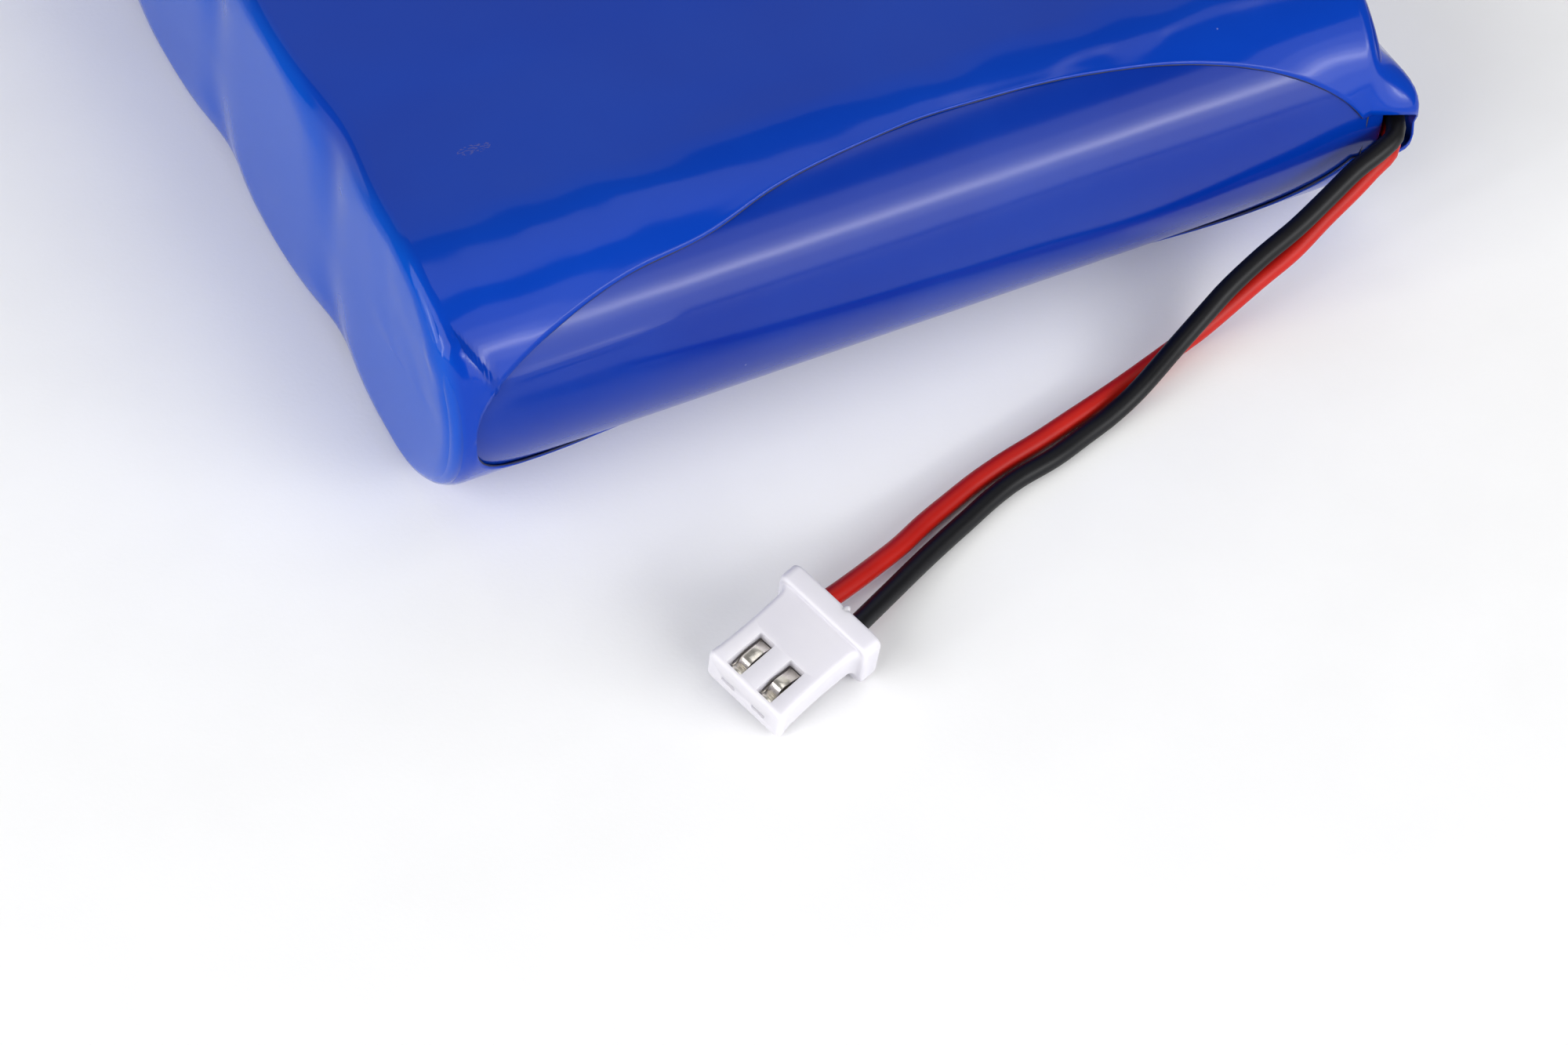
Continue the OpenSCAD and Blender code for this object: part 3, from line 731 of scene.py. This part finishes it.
@dataclass
class OuterFilm:
    """Outer shrink film: a tube round the row, drawn in over both end faces, with a mouth at each side.

    Rows of its grid run over the row of cells from the front mouth to the back mouth; columns run
    from the middle of the left end, over the rim, along the cells and into the right end.

    Attributes:
        row: where the cells lie.
        thickness: thickness of the film.
        rim: rounding of the end faces' rims.
        tip: how far along the cells the mouths reach from the middle.
        hood_angle: how far the film stays open over the leads, in degrees round the front cell.
        front_steps, flat_steps, side_steps, rim_steps, face_steps: how finely the grid is cut.
    """

    row: CellRow
    thickness: float = 0.15
    rim: float = 1.1
    tip: float = 31.9
    hood_angle: float = 11.5
    front_steps: int = 26
    flat_steps: int = 84
    side_steps: int = 110
    rim_steps: int = 8
    face_steps: int = 16

    def __post_init__(self) -> None:
        """Reads the film's box."""
        low, high = box_mm("outer_sleeve")
        self.radius = (high.z - low.z) / 2
        self.left = low.x
        self.crest = high.x
        self.flat_right = self.row.right + 0.9

    # -- the mouths

    def mouth_edge(self, x: float, top: bool, back: bool) -> float:
        """Angle in degrees from the foremost line of the cell at which the film ends."""
        share = min(1.0, abs(x) / self.tip)
        if back:
            return (62 if top else 64) * (1 - share**2.1) ** 0.52
        if x < 0:
            power, squareness, reach = (1.35, 0.45, 67) if top else (1.35, 0.38, 70)
        else:
            power, squareness, reach = (2.4, 0.6, 67) if top else (1.6, 0.6, 70)
        angle = reach * (1 - share**power) ** squareness
        if top:
            dip, dip_x, dip_width = 4.0, -15.5, 4.0
            angle -= dip * bell(x, dip_x, dip_width) * (share < 1)
        return angle

    def open_angle(self, column: "Column", top: bool, back: bool) -> float:
        """Angle at which the film starts on one column of the grid."""
        hood = 0.0
        hood_start = self.tip - 4
        if not back and column.x0 > hood_start and column.turn < 1:
            hood = self.hood_angle * math.sqrt(1 - column.turn**2) * smooth(hood_start, self.tip, column.x0)
        if column.turn > 0:
            return hood
        return max(self.mouth_edge(column.x0, top, back), hood)

    # -- the shape

    def grooved(self, y: float) -> float:
        """Distance along the row from the nearest groove, large outside the outer cells."""
        if abs(y) > self.row.half:
            return self.row.pitch
        return self.row.pitch / 2 - abs(self.row.off_axis(y))

    def end_depth(self, y: float, z: float) -> float:
        """How far the left film is drawn in where no cell end holds it out."""
        v = z - self.row.axis_z
        half_gap = self.row.pitch / 2 - math.sqrt(max(0.0, 9.0**2 - v * v))
        most = 0.8 if v > 0 else 0.55
        sink = 0.06 + most * (1 - math.exp(-half_gap / 3))
        return sink * bell(self.grooved(y), 0, max(2.0, 0.6 * half_gap))

    def right_bulge(self, y: float, z: float) -> float:
        """How far the right film stands out over the board and over the leads."""
        v = abs(z - self.row.axis_z)
        rise = self.crest - self.flat_right
        board = smooth(24.6, 21.2, abs(y)) * smooth(9.2, 7.6, v)
        leads = smooth(-17, -21, y) * smooth(5.6, 2.3, v)
        both = 1 - (1 - board) * (1 - leads)
        return rise * both

    def rim_size(self, y: float) -> float:
        """Rounding of the end's rim: tight over a cell's end, slack beside it."""
        if abs(y) > self.row.half:
            corner = smooth(0.3, 0.9, (abs(y) - self.row.half) / self.radius)
            return self.rim + 0.5 * corner
        return self.rim + 0.5 * bell(self.grooved(y), 0.0, 4.0)

    def wobble(self, x: float, y: float, z: float) -> float:
        """Small random unevenness of hand-shrunk film, in millimetres."""
        slow = noise.noise(Vector((x * 0.05, y * 0.09, z * 0.09)) + Vector((7.3, 1.7, 4.1)))
        quick = noise.noise(Vector((x * 0.24, y * 0.3, z * 0.3)) + Vector((2.3, 9.7, 0.1)))
        shoulder = bell(y, -self.row.half - 3.0, 5.0) * (z > self.row.axis_z)
        return 0.05 * slow + (0.012 + 0.1 * shoulder) * quick

    def point(self, column: "Column", s: float, top: bool) -> Vector:
        """A point of the film's outer face.

        Args:
            column: the column of the grid.
            s: 0 at the front edge, 1 to 2 over the flat, 3 at the back edge.
            top: the upper or the lower sheet.

        Returns:
            The point, in millimetres.
        """
        sign = 1 if top else -1
        if s <= 1:
            angle = blend(self.open_angle(column, top, False), 90, s)
            along, up = -math.cos(math.radians(angle)), math.sin(math.radians(angle))
            centre = -self.row.half
        elif s < 2:
            along, up, centre = 0.0, 1.0, blend(-self.row.half, self.row.half, s - 1)
        else:
            angle = blend(90, self.open_angle(column, top, True), s - 2)
            along, up = math.cos(math.radians(angle)), math.sin(math.radians(angle))
            centre = self.row.half
        y_full = centre + along * self.radius
        rim = self.rim_size(y_full)
        side = 1 if column.x0 > 0 else -1
        turn = column.turn * math.pi / 2
        if column.turn < 1:
            r = self.radius - rim * (1 - math.cos(turn))
            slope = math.sin(turn)
        else:
            r = (self.radius - rim) * column.inward
            slope = 1.0
        y = centre + along * r
        z = self.row.axis_z + sign * up * r
        if column.turn == 0:
            edge = (self.left + self.rim_size(y)) if side < 0 else (self.flat_right - rim)
            x = column.x0 / self.tip * abs(edge)
        elif side < 0:
            x = self.left + rim * (1 - slope)
        else:
            x = self.flat_right - rim * (1 - slope)
        if side < 0:
            pull = self.end_depth(y, z) * smooth(-self.tip + 9, self.left, x)
            x += pull * (slope if column.turn > 0 else smooth(-self.tip + 9, -self.tip, x) * 0.9 + 0.1)
        else:
            x += self.right_bulge(y, z) * slope
            cover = smooth(-29, -36.5, y) * smooth(4.4, 1.6, abs(z - self.row.axis_z))
            y -= 1.6 * cover * slope
        out = self.wobble(x, y, z)
        if side < 0 and top and s <= 1 and column.inward == 1:
            out += self.fold(x, angle)
        if column.turn == 0:
            sag = 0.1 * bell(self.grooved(y), 0, 3.5) * (1 < s < 2)
            lift = 0.03 * bell(min(s, 3 - s) * 12, 0, 1.0)
            out += lift - sag
            return Vector((x, y + along * out, z + sign * up * out))
        if column.turn >= 1:
            return Vector((x + side * out, y, z))
        level = out * math.cos(turn)
        return Vector((x + side * slope * out, y + along * level, z + sign * up * level))

    def fold(self, x: float, angle: float) -> float:
        """Height of the fold that shrinking left at the front of the left end, with one steep side."""
        u, w = x + 33.3, math.radians(angle - 44) * self.radius
        across = 0.9 * u + 0.44 * w
        along = 0.44 * u - 0.9 * w
        stretch = smooth(-0.8, 0.9, along) * smooth(5.4, 3.6, along)
        gentle = min(1.0, max(0.0, (across + 2.4) / 2.4))
        return 0.42 * stretch * (gentle if across < 0 else smooth(0.42, 0.0, across))

    def columns(self) -> list["Column"]:
        """Columns of the grid, from the middle of the left end to the middle of the right end."""
        inward = [i / self.face_steps for i in range(self.face_steps)]
        turns = [(i + 1) / self.rim_steps for i in range(self.rim_steps)]
        left = [Column(-self.tip, 1.0, k) for k in inward]
        left += [Column(-self.tip, t, 1.0) for t in reversed(turns)]
        middle = [
            Column(self.tip * math.sin(math.pi * (i / self.side_steps - 0.5)), 0.0, 1.0)
            for i in range(self.side_steps + 1)
        ]
        right = [Column(self.tip, t, 1.0) for t in turns]
        right += [Column(self.tip, 1.0, k) for k in reversed(inward)]
        return left + middle + right

    def build(self) -> Piece:
        """Builds the film with its thickness, and puts it in the CAD sleeve's place."""
        columns = self.columns()
        rows = [i / self.front_steps for i in range(self.front_steps)]
        rows += [1 + i / self.flat_steps for i in range(self.flat_steps)]
        rows += [2 + i / self.front_steps for i in range(self.front_steps + 1)]
        points: list[Vector] = []
        faces: Faces = []
        for top in (True, False):
            start = len(points)
            points += [self.point(c, s, top) for c in columns for s in rows]
            for i in range(len(columns) - 1):
                for k in range(len(rows) - 1):
                    a = start + i * len(rows) + k
                    quad = (a, a + 1, a + len(rows) + 1, a + len(rows))
                    faces.append(quad if top else tuple(reversed(quad)))
        made = mesh_object("outer_film_skin", points, faces)
        clean(made, 0.004)
        thicken(made, self.thickness)
        dress(made, OUTER_FILM)
        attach(made, "root")
        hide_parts("outer_sleeve")
        LOG.info("outer film, %d faces", len(made.data.polygons))
        return made


@dataclass(frozen=True)
class Column:
    """One column of the outer film's grid.

    Attributes:
        x0: nominal place along the cells.
        turn: 0 on the side, rising to 1 where the rim has turned into the end face.
        inward: on the end face, 1 at the rim and 0 at the middle.
    """

    x0: float
    turn: float
    inward: float


@dataclass
class MouthEdge:
    """Dust and old adhesive caught along the film's cut edge at the front mouth, drawn dark also as painted
    shade for the gap under that edge.
    """

    film: OuterFilm
    thick: float = 0.055

    def build(self) -> Piece:
        """Builds the thin dark line under the edge: dirt and painted shade."""
        line: list[Vector] = []
        for top in (True, False):
            half = []
            for i in range(181):
                x0 = self.film.tip * math.sin(math.pi * (i / 180 - 0.5)) * 0.995
                p = self.film.point(Column(x0, 0.0, 1.0), 0.0, top)
                out = Vector((0, p.y + self.film.row.half, p.z - self.film.row.axis_z)).normalized()
                half.append(p - out * 0.13)
            line += half if top else half[::-1]
        made = sweep("mouth_edge_dust_and_shade", line, self.width, 8)
        dress(made, EDGE_DUST_AND_SHADE)
        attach(made, "root")
        LOG.info("dust and painted shade line along the mouth")
        return made

    def width(self, i: int) -> float:
        """Uneven radius at point number i."""
        return self.thick * (1.1 + 0.8 * noise.noise(Vector((i * 0.21, 0.7, 2.9))))


@dataclass
class InnerFilm:
    """Inner shrink film: a tube round the row of cells whose front and back show in the mouths."""

    row: CellRow
    outer: OuterFilm
    thickness: float = 0.15
    lip: float = 2.0
    around: int = 128
    along: int = 120

    def __post_init__(self) -> None:
        """Reads the film's box."""
        low, high = box_mm("inner_sleeve")
        self.low, self.high = low, high
        self.radius = (high.z - low.z) / 2

    def outline(self, r: float) -> list[tuple[float, float, float, float]]:
        """Stadium outline of radius r: y, z and the outward direction of each point."""
        loop = []
        for side in (-1, 1):
            for i in range(self.around + 1):
                a = math.pi * i / self.around
                out_y, out_z = side * math.sin(a), side * math.cos(a)
                loop.append((side * self.row.half + out_y * r, self.row.axis_z + out_z * r, out_y, out_z))
            flat = 48
            for i in range(1, flat):
                y = side * blend(self.row.half, -self.row.half, i / flat)
                loop.append((y, self.row.axis_z - side * r, 0.0, -side))
        return loop

    def dent(self, x: float, y: float, z: float) -> float:
        """Small unevenness, with one shallow crease near the left of the front."""
        slow = noise.noise(Vector((x * 0.045, y * 0.12, z * 0.12)) + Vector((3.3, 5.2, 8.8)))
        quick = noise.noise(Vector((x * 0.3, y * 0.3, z * 0.3)) + Vector((5.5, 2.2, 1.1)))
        reach = smooth(-31.5, -29, x) * smooth(-18, -22, x)
        crease = bell(z, 13.1 + 0.02 * (x + 25), 0.3) * reach * (y < -30)
        return 0.035 * slow + 0.006 * quick + 0.09 * crease

    def build(self) -> Piece:
        """Builds the film with its lips over both ends, in the CAD sleeve's place."""
        rim = 0.6
        stations = [(self.low.x, self.lip - k * (self.lip - rim) / 3) for k in range(3)]
        stations += [(self.low.x + rim * (1 - math.cos(a)), rim * (1 - math.sin(a)))
                     for a in (math.pi / 2 * k / 5 for k in range(6))]
        right = [(self.low.x + self.high.x - x, inset) for x, inset in reversed(stations)]
        stations += [(blend(self.low.x + rim, self.high.x - rim, i / self.along), 0.0)
                     for i in range(1, self.along)]
        stations += right
        points: list[Vector] = []
        count = len(self.outline(self.radius))
        for x, inset in stations:
            for y, z, out_y, out_z in self.outline(self.radius - inset):
                d = self.dent(x, y, z) if inset == 0 else 0.0
                pull = self.outer.end_depth(y, z) * smooth(self.low.x + 9, self.low.x, x)
                points.append(Vector((x + pull, y + out_y * d, z + out_z * d)))
        made = mesh_object("inner_film_skin", points, tube_faces(len(stations), count, capped=False))
        clean(made, 0.002)
        thicken(made, self.thickness)
        dress(made, INNER_FILM)
        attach(made, "root")
        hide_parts("inner_sleeve")
        LOG.info("inner film, %d faces", len(made.data.polygons))
        return made


# ------------------------------------------------------------------ plug


@dataclass
class Plug:
    """The two-way crimp plug. X runs to its nose, Y from the red to the black contact, Z up."""

    place: Point = (-16.79, -53.93, 2.6)
    turn: Point = (-10.0, 8.0, -162.0)
    flange_rear: float = -0.3
    flange_thick: float = 1.15
    flange_half: float = 3.7
    flange_top: float = 2.4
    flange_bottom: float = -1.85
    half_width: float = 3.0
    top: float = 2.0
    bottom: float = -0.9
    waist: float = 0.2
    length: float = 7.7
    contact: float = 1.25
    contact_z: float = 0.25

    def matrix(self) -> Matrix:
        """The plug's place in the row frame, in millimetres."""
        turn = Euler([math.radians(a) for a in self.turn], "XYZ").to_matrix().to_4x4()
        return Matrix.Translation(self.place) @ turn

    def ring(self, x: float, half: float, top: float, bottom: float, corner: float) -> list[Vector]:
        """A rounded rectangle across the plug at x."""
        per_corner = 6
        loop = []
        for sy, sz, start in ((1, 1, 0), (-1, 1, 90), (-1, -1, 180), (1, -1, 270)):
            for k in range(per_corner + 1):
                a = math.radians(start + 90 * k / per_corner)
                edge = top if sz > 0 else -bottom
                loop.append(Vector((x, sy * (half - corner) + corner * math.cos(a),
                                    sz * (edge - corner) + corner * math.sin(a))))
        return loop

    def flange_ring(self, x: float, inset: float) -> tuple[float, float, float, float, float]:
        """A ring of the flange, drawn in by inset at its rounded edges."""
        return (x, self.flange_half - inset, self.flange_top - inset, self.flange_bottom + inset, 0.6)

    def stations(self) -> list[tuple[float, float, float, float, float]]:
        """Rings from the flange's rear face to the nose: x, half width, top, bottom, corner."""
        soft = 0.28
        turns = [math.pi / 2 * k / 5 for k in range(6)]
        rings = [self.flange_ring(self.flange_rear + soft * (1 - math.cos(a)), soft * (1 - math.sin(a)))
                 for a in turns]
        rings += [self.flange_ring(self.flange_thick - soft + soft * math.sin(a), soft * (1 - math.cos(a)))
                  for a in turns]
        side_fillet, low_fillet, top_fillet = 0.42, 0.6, 0.12
        body_low = self.bottom + self.waist
        reach = 0.7
        for k in range(9):
            a = math.pi / 2 * k / 8
            grow = 1 - math.sin(a)
            rings.append((self.flange_thick + reach * (1 - math.cos(a)), self.half_width + side_fillet * grow,
                          self.top + top_fillet * grow, body_low - low_fillet * grow, 0.4))
        start, flare_at = self.flange_thick + reach, self.length - 1.1
        for k in range(1, 12):
            t = k / 12
            bow = math.sin(math.pi * t)
            rings.append((blend(start, flare_at, t), self.half_width - 0.05 * bow, self.top - 0.02 * bow,
                          body_low + 0.05 * bow, 0.4))
        for k in range(9):
            flare = smooth(0, 1, k / 8)
            rings.append((blend(flare_at, self.length - soft, k / 8), self.half_width + 0.08 * flare,
                          self.top, body_low - self.waist * flare, 0.4))
        for a in turns[1:]:
            inset = soft * (1 - math.cos(a))
            rings.append((self.length - soft + soft * math.sin(a), self.half_width + 0.08 - inset,
                          self.top - inset, self.bottom + inset, 0.4))
        return rings

    def shell(self) -> Piece:
        """The housing's outside, lofted through its rings."""
        rings = [self.ring(*station) for station in self.stations()]
        points = [p for ring in rings for p in ring]
        return mesh_object("plug_shell", points, tube_faces(len(rings), len(rings[0])))

    def cutter(self, low: Point, high: Point, corner: float = 0.12) -> Piece:
        """A box cutter with rounded upright edges."""
        (x0, y0, z0), (x1, y1, z1) = low, high
        made = mesh_object(
            "cutter", [(x, y, z) for x in (x0, x1) for y in (y0, y1) for z in (z0, z1)],
            [(0, 1, 3, 2), (4, 6, 7, 5), (0, 4, 5, 1), (2, 3, 7, 6), (0, 2, 6, 4), (1, 5, 7, 3)])
        clean(made)
        soften(made, corner, 3)
        return made

    def housing(self) -> Piece:
        """The housing: shell less its chambers, windows, wire holes and nose notches."""
        made = self.shell()
        nub_line = [Vector((self.flange_rear + 0.3 - 0.09 * k, 0.62, 2.12)) for k in range(7)]
        clean(made, 0.0005)
        cutters = []
        mid = self.contact_z
        for side in (-1, 1):
            y = side * self.contact
            cutters.append(self.cutter((3.2, y - 1.0, mid - 0.9), (self.length - 0.9, y + 1.0, mid + 0.9)))
            cutters.append(self.cutter((4.45, y - 0.6, mid), (7.4, y + 0.6, 3.0)))
            cutters.append(self.cutter((self.length - 1.0, y - 0.55, mid - 0.22),
                                       (self.length + 1, y + 0.55, mid + 0.22), 0.08))
            cutters.append(sweep("cutter", [Vector((x, y, mid)) for x in (-1.0, 1.2, 3.6)], lambda i: 0.82))
        for cutter in cutters:
            cut = made.modifiers.new("cut", "BOOLEAN")
            cut.operation, cut.object, cut.solver = "DIFFERENCE", cutter, "EXACT"
        apply_modifiers(made)
        for cutter in cutters:
            bpy.data.objects.remove(cutter, do_unlink=True)
        soften(made, 0.05, 2, 50.0)
        nub = sweep("gate_nub", nub_line, lambda i: 0.3 * math.sqrt(max(0.02, 1 - (i / 6.2) ** 2)), 16)
        absorb(made, nub)
        for polygon in made.data.polygons:
            polygon.use_smooth = True
        made.data.set_sharp_from_angle(angle=math.radians(38))
        made.name = "plug_housing"
        made.data.transform(Matrix.Scale(MM, 4) @ self.matrix() @ Matrix.Scale(1 / MM, 4))
        dress(made, PLUG_NYLON)
        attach(made, "root")
        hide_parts("connector_housing")
        LOG.info("plug housing, %d faces", len(made.data.polygons))
        return made

    def strip(
        self, profile: Sequence[tuple[float, float]], half: float, thick: float
    ) -> tuple[list[Vector], Faces]:
        """A bent metal strip of even width and thickness along a side profile of (x, z) points."""
        points: list[Vector] = []
        for i, (x, z) in enumerate(profile):
            x0, z0 = profile[max(i - 1, 0)]
            x1, z1 = profile[min(i + 1, len(profile) - 1)]
            run = math.hypot(x1 - x0, z1 - z0)
            nx, nz = -(z1 - z0) / run, (x1 - x0) / run
            for y, t in ((-half, 0), (-half, 1), (half, 1), (half, 0)):
                points.append(Vector((x + nx * thick * t, y, z + nz * thick * t)))
        return points, tube_faces(len(profile), 4)

    def curled_wall(self, wall: int) -> tuple[list[Vector], Faces]:
        """One side wall of a contact, with its top edge curled inwards."""
        points: list[Vector] = []
        stations = np.linspace(4.0, 6.9, 18)
        for x in stations:
            lean = 0.05 * math.sin(2.6 * x + wall)
            outline = [(0.85, -0.5), (0.85, 0.78 + lean), (0.74, 0.96 + lean), (0.5, 1.0 + lean)]
            inner = [(0.36 + lean, 0.9 + lean), (0.66, 0.84 + lean), (0.72, 0.7 + lean), (0.72, -0.38)]
            points += [Vector((x, wall * y, z)) for y, z in outline + inner]
        return points, tube_faces(len(stations), len(outline + inner))

    def terminal(self, side: int, colour: LeadColour) -> Piece:
        """A folded contact: floor, curled walls, a lance that stands up in the window, and the barrel."""
        tip = 0.1 * side
        lance = smooth_route([
            (4.15, 0, 0.7), (4.6, 0, 1.05), (5.2, 0, 1.38), (5.8, 0, 1.52 + tip), (6.2, 0, 1.5 + tip),
            (6.42, 0, 1.2), (6.5, 0, 0.95), (6.8, 0, 0.98), (7.05, 0, 1.06), (7.3, 0, 0.8)], 0.1)
        parts = [self.strip([(p.x, p.z) for p in lance], 0.36, 0.13)]
        parts.append(self.strip([(x, -0.5) for x in np.linspace(4.0, 6.9, 12)], 0.85, 0.16))
        parts += [self.curled_wall(-1), self.curled_wall(1)]
        all_points: list[Vector] = []
        all_faces: Faces = []
        for points, faces in parts:
            start = len(all_points)
            all_points += points
            all_faces += [tuple(start + k for k in f) for f in faces]
        made = mesh_object(f"contact_{colour.value}", all_points, all_faces)
        barrel = sweep("barrel", [Vector((x, 0, self.contact_z)) for x in np.linspace(1.6, 4.1, 14)],
                       lambda i: 0.64 - 0.2 * smooth(8, 13, i) - 0.05 * math.sin(i * 1.1) ** 2)
        absorb(made, barrel)
        clean(made, 0.0002)
        soften(made, 0.03, 2)
        made.data.set_sharp_from_angle(angle=math.radians(45))
        shift = Matrix.Translation(Vector((0, side * self.contact, 0)))
        made.data.transform(Matrix.Scale(MM, 4) @ self.matrix() @ shift @ Matrix.Scale(1 / MM, 4))
        dress(made, CONTACT)
        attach(made, "root")
        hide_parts(f"crimp_terminal_{colour.value}")
        LOG.info("%s contact", colour.value)
        return made


# ------------------------------------------------------------------ inner pieces and the whole


class InnerPieces:
    """Cells, strips, papers and board inside the film: CAD nodes that keep their shape."""

    def dress(self) -> None:
        """Gives each CAD node the finish of its record slot."""
        for entry in frame["record"]["subparts"]:
            node = frame["nodes"][entry["node"]]
            finish = INNER_FINISHES[entry["material_slot"]]
            node.data.materials.clear()
            node.data.materials.append(finish.build())
            LOG.info("%s dressed as %s", entry["node"], finish.slot)


def main() -> None:
    """Builds the studio and the pack in order, and logs the films, the plug's parts, the mouth's line and
    each dressed node.
    """
    logging.basicConfig(level=logging.INFO, format="%(message)s")
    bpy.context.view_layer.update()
    Studio().build()
    plug = Plug()
    housing = plug.housing()
    red_contact = plug.terminal(-1, LeadColour.RED)
    black_contact = plug.terminal(1, LeadColour.BLACK)
    Lead(LeadColour.RED, RED_ROUTE, RED_LEAD).build([housing.name, red_contact.name])
    Lead(LeadColour.BLACK, BLACK_ROUTE, BLACK_LEAD).build([black_contact.name])
    row = CellRow()
    outer = OuterFilm(row)
    outer.build()
    InnerFilm(row, outer).build()
    MouthEdge(outer).build()
    InnerPieces().dress()


if __name__ == "__main__":
    main()
